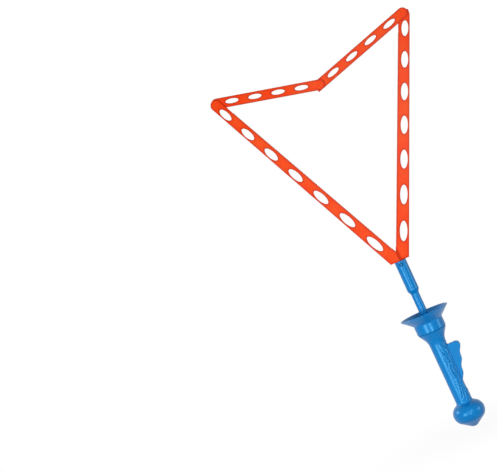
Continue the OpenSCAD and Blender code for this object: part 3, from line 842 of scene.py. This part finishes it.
def strandRelief(turn, z, radius):  # height of the flowing strands on the trigger's side of the grip
    v = strands
    if not v.low < z < v.high:
        return 0.0
    slot = asin(handle.slotHalf / handle.gripTop)
    calm = smoothStep(0, v.slotFade, (turn - slot) * radius)
    calm *= smoothStep(v.low, v.low + v.lowFade, z)
    calm *= 1 - smoothStep(v.high - v.highFade, v.high, z)
    calm *= 1 - smoothStep(v.reach - v.reachFade, v.reach + v.reachFade, turn)
    if calm == 0:
        return 0.0
    phase = v.count * turn / (2 * pi)
    for size, wave, lean, start in v.sways:
        phase += size * sin(2 * pi * z / wave + lean * turn + start)
    across = abs(2 * (phase - floor(phase)) - 1)
    spot = Vector((turn * v.patchTurn, floor(phase) * v.patchStep, z / v.patchScale))
    patch = smoothStep(v.patchLow, v.patchHigh, noise.noise(spot))
    here = v.patchLeast + (1 - v.patchLeast) * patch
    return calm * (v.rise - v.depth * here * (1 - sqrt(1 - v.roundness * across * across)))


def handleProfile(v, inset):  # (radius, height) from the pommel's end up to the top plate
    gripLow, gripTop = -v.gripLength / 2, v.gripLength / 2
    seam = gripTop + v.flareHeight
    bulgeR = v.pommel - v.bulge
    reach = v.gripLow + v.neckFillet
    rise = sqrt((v.bulge + v.neckFillet) ** 2 - (reach - bulgeR) ** 2)
    bulgeZ = gripLow - rise
    crease = degrees(asin(-v.creaseDrop / v.bulge))
    slope = radians(v.coneSlope)
    creaseR = bulgeR + v.bulge * cos(radians(crease))
    noseZ = bulgeZ - v.creaseDrop - (creaseR - v.nose * sin(slope)) * tan(slope)
    noseZ += v.nose * cos(slope)
    turn = degrees(atan2(rise, reach - bulgeR))
    nose = arcPoints(0, noseZ, v.nose - inset, -90, v.coneSlope - 90, steps=12)
    bulge = arcPoints(bulgeR, bulgeZ, v.bulge - inset, crease, turn, steps=26)
    cone = [along(nose[-1], bulge[0], t / v.coneSteps) for t in range(1, v.coneSteps)]
    fillet = arcPoints(reach, gripLow, v.neckFillet + inset, 180 + turn, 180, steps=9)
    rows = np.linspace(gripLow, gripTop, v.gripRows + 1)[1:-1]
    for stop in (v.slotLow, v.slotTop):
        rows[np.abs(rows - stop).argmin()] = stop
    widen = v.gripTop - v.gripLow
    grip = [(v.gripLow + widen * (z - gripLow) / v.gripLength - inset, z) for z in rows]
    lean = asin(v.flareRound / v.flare)
    flare = arcPoints(v.gripTop + v.flare, gripTop, v.flare + inset, 180, 180 - degrees(lean), steps=14)
    flareR, flareZ = flare[-1]
    top = seam + v.spigotHeight
    if inset:
        ceiling, neckR = top - v.plate, v.spigot - inset
        neckZ = flareZ + (neckR - flareR) / tan(lean)
        end = [along(flare[-1], (neckR, neckZ), t) for t in v.insideShares]
        end += [(neckR, neckZ), (neckR, neckZ + v.spigotStep), (neckR, ceiling), (v.plateHole, ceiling)]
    else:
        lip = seam - v.seamBevel
        seamR = flareR + (lip - flareZ) * tan(lean)
        end = [along(flare[-1], (seamR, lip), t) for t in v.flareShares]
        end += [(seamR - v.seamBevel, seam), (v.spigot, seam), (v.spigot, top), (v.plateHole, top)]
    return nose + cone + bulge + fillet + grip + flare + end, bulgeZ


def shellMesh(v, side):  # side is -1 for the front half and 1 for the back half
    outer, bulgeZ = handleProfile(v, 0.0)
    inner, _ = handleProfile(v, v.wall)
    line = [0.0, v.lineStart, v.lineWidth, v.lineEnd]
    verts = []

    def columns(radius):
        edge = [d / max(radius, v.lineLeast) for d in line]
        slot = asin(v.slotHalf / min(max(radius, v.gripLow), v.gripTop))
        near = list(np.linspace(edge[-1], slot, v.slotColumns + 1))[1:]
        calm = strands.reach + strands.reachFade
        far = list(np.linspace(slot, calm, v.strandColumns + 1))[1:]
        far += list(np.linspace(calm, pi - edge[-1], v.sideColumns + 1))[1:]
        return edge + near + far + [pi - e for e in reversed(edge[:-1])]

    count = len(columns(v.gripTop))
    slotColumn = len(line) - 1 + v.slotColumns
    for profile in (outer, inner):
        for (r, z), outside in zip(profile, outer):
            for k, a in enumerate(columns(outside[0])):
                radius = r
                if profile is outer:
                    fromLine = min(k, count - 1 - k)
                    if fromLine < len(line):
                        gap = max(0.0, 1 - line[fromLine] / v.lineWidth)
                        radius -= min(v.lineDepth * gap * gap, r / 2)
                    radius += strandRelief(a, z, r)
                verts.append((radius * cos(a), side * (radius * sin(a) + v.halfGap), z))
    total = len(outer) * count

    def inSlot(row, k):
        onGrip = outer[row][0] < v.gripTop + v.slotSpare
        middle = (outer[row][1] + outer[row + 1][1]) / 2
        return k < slotColumn and onGrip and v.slotLow < middle < v.slotTop

    faces, border = [], {}
    for row in range(len(outer) - 1):
        for k in range(count - 1):
            if inSlot(row, k):
                continue
            a, b = row * count + k, (row + 1) * count + k
            quad = (a, a + 1, b + 1, b)
            faces.append(quad)
            faces.append(tuple(total + q for q in reversed(quad)))
            for p, q in zip(quad, quad[1:] + quad[:1]):
                if (q, p) in border:
                    del border[(q, p)]
                else:
                    border[(p, q)] = True
    for p, q in border:
        faces.append((q, p, total + p, total + q))
    return verts, faces, bulgeZ


def shadeGrooves(shell, v):  # marks the grooves between the strands with painted shade, for the darker colour
    shades = []
    for point in shell.data.vertices:
        x, y, z = point.co / mm
        radius, angle = hypot(x, y), atan2(y, x)
        outside = radius > v.gripLow - strands.skinShare * v.wall
        sunk = -strandRelief(abs(angle), z, radius) if outside else 0.0
        shades.append(smoothStep(0.0, strands.grooveTone, sunk))
    markPaintedShade(shell, shades)


def halfDisc(side, inner, outer, low, high, gap, steps=48):  # half a flat ring, for the web inside a shell
    verts, faces = [], []
    for i in range(steps + 1):
        a = pi * i / steps
        for r, z in ((inner, low), (outer, low), (outer, high), (inner, high)):
            verts.append((r * cos(a), side * (r * sin(a) + gap), z))
    for i in range(steps):
        for k in range(4):
            faces.append((4 * i + k, 4 * i + 4 + k, 4 * i + 4 + (k + 1) % 4, 4 * i + (k + 1) % 4))
    faces += [(3, 2, 1, 0), tuple(4 * steps + k for k in range(4))]
    return verts, faces


def buildShells(v):
    seat = v.gripLength / 2
    for name, side, node in (("handleFront", -1, "handle_front"), ("handleBack", 1, "handle_back")):
        verts, faces, bulgeZ = shellMesh(v, side)
        shell = makePiece(name, verts, faces, "bluePlastic")
        web = halfDisc(side, v.rodHole, v.gripTop - v.webInset, seat, seat + v.plate, v.webGap)
        carve(shell, *web, "UNION")
        if side > 0:
            carve(shell, *plainRod(v.screwBoss, v.bossGap, v.pommel - v.bossInset, 0, bulgeZ), "UNION")
            hole = filletPath([(0, v.screwSeat, 0), (v.screwHead, v.screwSeat, v.seatRound),
                               (v.screwHead, v.screwReach, 0), (0, v.screwReach, 0)])
            carve(shell, *rodAcross(hole, 0, bulgeZ))
        declare(shell, "handle", node)
        shadeGrooves(shell, v)
        smooth(shell, v.sharpAngle, False)
    return bulgeZ


pommelScrewHeight = buildShells(handle)
print("handle shells built")

# Screw in the pommel

screwValues = {
    "head": 2.8, "headHeight": 2.2, "shank": 1.05, "length": 20.0, "seat": 10.0, "sharpAngle": 35.0,
    "point": 0.25, "pointHeight": 2.2, "thread": 1.3, "pitch": 1.1, "threadStart": 2.4, "threadSpare": 4.0,
    "threadRises": (0.4, 0.55, 0.95), "seatRound": 0.1, "sideHeight": 1.2, "sideRound": 0.5,
    "crownShare": 0.62, "crownDrop": 0.12, "crownRound": 0.8, "flatShare": 0.3,
    "crossWidth": 0.9, "crossLength": 3.6, "crossDepth": 1.1,
}


def buildScrew(v):
    seat, shank, head, z = v.seat, v.shank, v.head, pommelScrewHeight
    top, low = seat + v.headHeight, seat - v.length
    path = [(0, low, 0), (v.point, low, 0), (shank, low + v.pointHeight, 0)]
    rise, flat, fall = v.threadRises
    for i in range(int((v.length - v.threadSpare) / v.pitch)):
        y = low + v.threadStart + i * v.pitch
        path += [(shank, y, 0), (v.thread, y + rise, 0), (v.thread, y + flat, 0), (shank, y + fall, 0)]
    path += [(shank, seat, 0), (head, seat, v.seatRound), (head, seat + v.sideHeight, v.sideRound),
             (head * v.crownShare, top - v.crownDrop, v.crownRound),
             (head * v.flatShare, top, 0), (0, top, 0)]
    shape = rodAcross(filletPath(path, steps=5), 0, z, steps=64)
    screw = makePiece("pommelScrew", *shape, "pinSteel", "handle", "pommel_screw")
    a, b = v.crossWidth / 2, v.crossLength / 2
    for wide, tall in ((a, b), (b, a)):
        bar = [(-wide, z - tall), (wide, z - tall), (wide, z + tall), (-wide, z + tall)]
        carve(screw, *prism(bar, top - v.crossDepth, top + 1))
    smooth(screw, v.sharpAngle, False)


buildScrew(named(screwValues))
print("pommel screw built")

# Splash guard: collar and dish

guardValues = {
    "seam": 63.7, "slit": 0.35, "collar": 21.2, "collarHeight": 14.3, "bevel": 0.7, "throat": 3.0,
    "rim": 35.3, "dishHeight": 13.4, "dishWall": 2.3, "edgeRound": 0.5, "bowlRound": 3.0,
    "spigotHole": 18.85, "stemHole": 5.88, "hubLow": 73.7, "hubTop": 76.7,
}


def buildGuard(v):
    foot, low, e = v.seam + v.slit, v.seam + v.collarHeight, v.edgeRound
    top = low + v.dishHeight
    lean = (v.dishHeight - v.dishWall / 2) / (v.rim - v.collar)
    innerR = v.collar + (v.hubTop - low - v.dishWall) / lean
    lipR = v.collar + (v.dishHeight - v.dishWall) / lean
    path = filletPath([
        (v.collar - v.bevel, foot, 0), (v.collar, foot + v.bevel, e), (v.collar, low, v.throat),
        (v.rim, top - v.dishWall / 2, e), (v.rim - v.dishWall / 4, top, e), (lipR, top, e),
        (innerR, v.hubTop, v.bowlRound), (v.stemHole, v.hubTop, 0), (v.stemHole, v.hubLow, 0),
        (v.spigotHole, v.hubLow, 0), (v.spigotHole, foot, 0),
    ], steps=8)
    smooth(makePiece("splashGuard", *lathe(path, steps=160), "bluePlastic", "handle", "splash_guard"))


buildGuard(named(guardValues))
print("splash guard built")

# Stem: neck, taper and the head that holds the arms

stemValues = {
    "low": 67.7, "lowRound": 0.3, "neck": 5.8, "flange": 10.0, "flangeLow": 70.7, "flangeTop": 73.7,
    "taperLow": 121.2, "taperRound": 7.0, "head": 8.4, "headLow": 126.2, "headRound": 4.0,
    "mouth": 170.6, "mouthRound": 0.7, "bore": 2.58, "cavity": 7.4, "cavityHalf": 3.95, "cavityLow": 153.75,
    "pivotHeight": 165.7, "pivotHole": 1.52, "recess": 2.9, "recessDepth": 1.2, "ringDepth": 2.8,
    "driveHeight": 161.7, "driveHole": 1.3, "floorReach": 0.01, "sharpAngle": 38.0,
    "pinRadius": 1.5, "pinDome": 0.1, "pinFrontRound": 0.3, "pinBackRound": 0.2,
}


def buildStem(v):
    path = filletPath([
        (0, v.low, 0), (v.neck, v.low, v.lowRound),
        (v.neck, v.flangeLow, 0), (v.flange, v.flangeLow, 0),
        (v.flange, v.flangeTop, 0), (v.neck, v.flangeTop, 0),
        (v.neck, v.taperLow, v.taperRound), (v.head, v.headLow, v.headRound),
        (v.head, v.mouth, v.mouthRound), (0, v.mouth, 0),
    ], steps=8)
    stem = makePiece("stem", *lathe(path), "bluePlastic")
    low, high = v.low - 1, v.cavityLow + 1
    carve(stem, *lathe([(0, low), (v.bore, low), (v.bore, high), (0, high)], steps=48))
    half = degrees(asin(v.cavityHalf / v.cavity))
    plan = [p for turn in (0, 180) for p in arcPoints(0, 0, v.cavity, turn - half, turn + half, steps=16)]
    verts, faces = prism(plan, v.cavityLow, v.mouth + 2)
    carve(stem, [(x, y, z) for x, z, y in verts], faces)
    far, ringFloor, pinEnd = meshValues["cutReach"], v.ringDepth - v.head, v.head - v.recessDepth
    for z, radius, start, stop in ((v.pivotHeight, v.pivotHole, -far, pinEnd),
                                   (v.pivotHeight, v.recess, -far, ringFloor),
                                   (v.driveHeight, v.driveHole, 0, far)):
        carve(stem, *plainRod(radius, start, stop, 0, z))
    # painted shade: the floor of the pin's recess is marked for the darker colour
    lowest = v.pivotHeight - v.head / 2
    markPaintedShade(stem, [float(abs(p.co.y / mm - ringFloor) < v.floorReach and p.co.z / mm > lowest)
                     for p in stem.data.vertices])
    declare(stem, "handle", "stem")
    smooth(stem, v.sharpAngle, False)
    start = v.recessDepth / 2 - v.head
    pin = filletPath([(0, start, 0), (v.pinRadius, start + v.pinDome, v.pinFrontRound),
                      (v.pinRadius, pinEnd, v.pinBackRound), (0, pinEnd, 0)], steps=5)
    shape = rodAcross(pin, 0, v.pivotHeight)
    smooth(makePiece("armPivotPin", *shape, "bluePlastic", "handle", "arm_pivot_pin"))


buildStem(named(stemValues))
print("stem and pivot pin built")

# Trigger

triggerValues = {
    "half": 4.7, "wall": 1.6, "edgeRound": 1.15, "pointSpacing": 1.5, "sharpAngle": 35.0,
    "pivotX": 6.5, "pivotZ": -24.0, "eye": 4.0, "pinHole": 1.55, "linkSlot": 1.3, "slotSteps": 12,
    "rodRadius": 2.5, "rodTravel": 4.5, "passGap": 0.3, "squeeze": 9.0, "topInset": 1.0, "far": 60.0,
    "noseX": 28.2, "noseZ": 31.0, "noseRound": 5.7, "top": 38.2, "heelX": 12.6, "heelZ": 16.3,
    "dipDepth": 0.85, "dips": 2.5,
}


def fingerFace(v, inset, steps):
    face = []
    for i in range(steps + 1):
        dip = v.dipDepth * (1 - cos(2 * pi * v.dips * i / steps))
        x, z = along((v.noseX, v.noseZ), (v.heelX, -v.heelZ), i / steps)
        face.append((x - dip - inset, z))
    return face


def triggerOutline(v):
    backX = -v.linkSlot - v.wall
    nose = arcPoints(v.noseX - v.noseRound, v.top - v.noseRound, v.noseRound, 90, 0, steps=16)
    loop = [(v.pivotX - v.topInset, v.top)] + nose + fingerFace(v, 0, steps=72)
    loop += arcPoints(v.pivotX, v.pivotZ, v.eye, 0, -180, steps=24)
    loop += [(backX, -v.rodRadius), (backX, v.linkSlot + v.wall)]
    return loop[::-1]


def triggerHollow(v):
    squeeze, far = radians(v.squeeze), v.far
    room = v.rodRadius + 2 * v.passGap - v.pivotX
    topX = v.pivotX + (room + (v.top - v.pivotZ) * sin(squeeze)) / cos(squeeze)
    webX = v.pivotX + v.eye - v.wall
    inside = v.noseRound - v.wall
    loop = [(-far, far), (topX, far), (topX, v.top - v.wall)]
    loop += arcPoints(v.noseX - v.noseRound, v.top - v.noseRound, inside, 90, 0, steps=12)
    loop += fingerFace(v, v.wall, steps=48)
    loop += [(webX, v.pivotZ), (webX, -far), (-far, -far)]
    return loop[::-1]


def buildTrigger(v):
    path, last = [], v.slotSteps
    for i in range(last + 1):
        a = radians(v.squeeze) * i / last
        c, s = cos(a), sin(a)
        x, z = -v.pivotX, -v.pivotZ - v.rodTravel * i / last
        path.append((v.pivotX + x * c + z * s, v.pivotZ - x * s + z * c))
    half, cheek, far = v.half, v.half - v.wall, meshValues["cutReach"]
    verts, faces, _ = plateMesh([triggerOutline(v)], -half, half, v.edgeRound, v.pointSpacing, steps=6)
    trigger = makePiece("trigger", verts, faces, "bluePlastic")
    carve(trigger, *prism(triggerHollow(v), -cheek, cheek))
    carve(trigger, *prism(slotLoop(path, v.linkSlot), -far, far))
    carve(trigger, *plainRod(v.pinHole, -far, far, v.pivotX, v.pivotZ))
    declare(trigger, "trigger", "trigger")
    smooth(trigger, v.sharpAngle)


buildTrigger(named(triggerValues))
print("trigger built")

# Return spring: round wire with closed ends, built at one length; in the wand the rod squeezes it as it comes
# down

springValues = {
    "radius": 3.7, "wire": 0.5, "low": 45.7, "high": 65.7, "turns": 7, "endTurns": 1.0, "endGap": 0.05,
    "closedPitch": 2.04,  # in wire radii
    "perTurn": 36, "sides": 12, "travel": 4.5, "sharpAngle": 60.0,
}


def buildSpring(v):
    verts, faces, sides = [], [], v.sides
    turns = v.turns + 2 * v.endTurns
    rings = int(turns * v.perTurn)
    low, high = v.low + v.wire + v.endGap, v.high - v.wire - v.endGap
    closed = v.endTurns * v.closedPitch * v.wire
    for i in range(rings + 1):
        t = turns * i / rings
        if t < v.endTurns:
            z = low + closed * t / v.endTurns
        elif t > turns - v.endTurns:
            z = high - closed * (turns - t) / v.endTurns
        else:
            z = low + closed + (high - low - 2 * closed) * (t - v.endTurns) / v.turns
        a = 2 * pi * t
        for k in range(sides):
            b = 2 * pi * k / sides
            r = v.radius + v.wire * cos(b)
            verts.append((r * cos(a), r * sin(a), z + v.wire * sin(b)))
    for i in range(rings):
        a, b = i * sides, (i + 1) * sides
        faces += [(a + k, b + k, b + (k + 1) % sides, a + (k + 1) % sides) for k in range(sides)]
    faces += [tuple(reversed(range(sides))), tuple(rings * sides + k for k in range(sides))]
    spring = makePiece("returnSpring", verts, faces, "springSteel", "handle", "return_spring")
    smooth(spring, v.sharpAngle, False)
    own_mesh(spring)


buildSpring(named(springValues))
print("return spring built")

# Inner pieces that keep their CAD form: rod and pins

keptNodes = {
    "pull_rod": "whitePlastic", "drive_pin": "pinSteel", "link_pin": "pinSteel",
    "trigger_pivot_pin": "pinSteel",
}
for nodeName, finishName in keptNodes.items():
    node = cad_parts[nodeName]
    node.data.materials.clear()
    node.data.materials.append(finishes[finishName])
print("inner pieces finished")
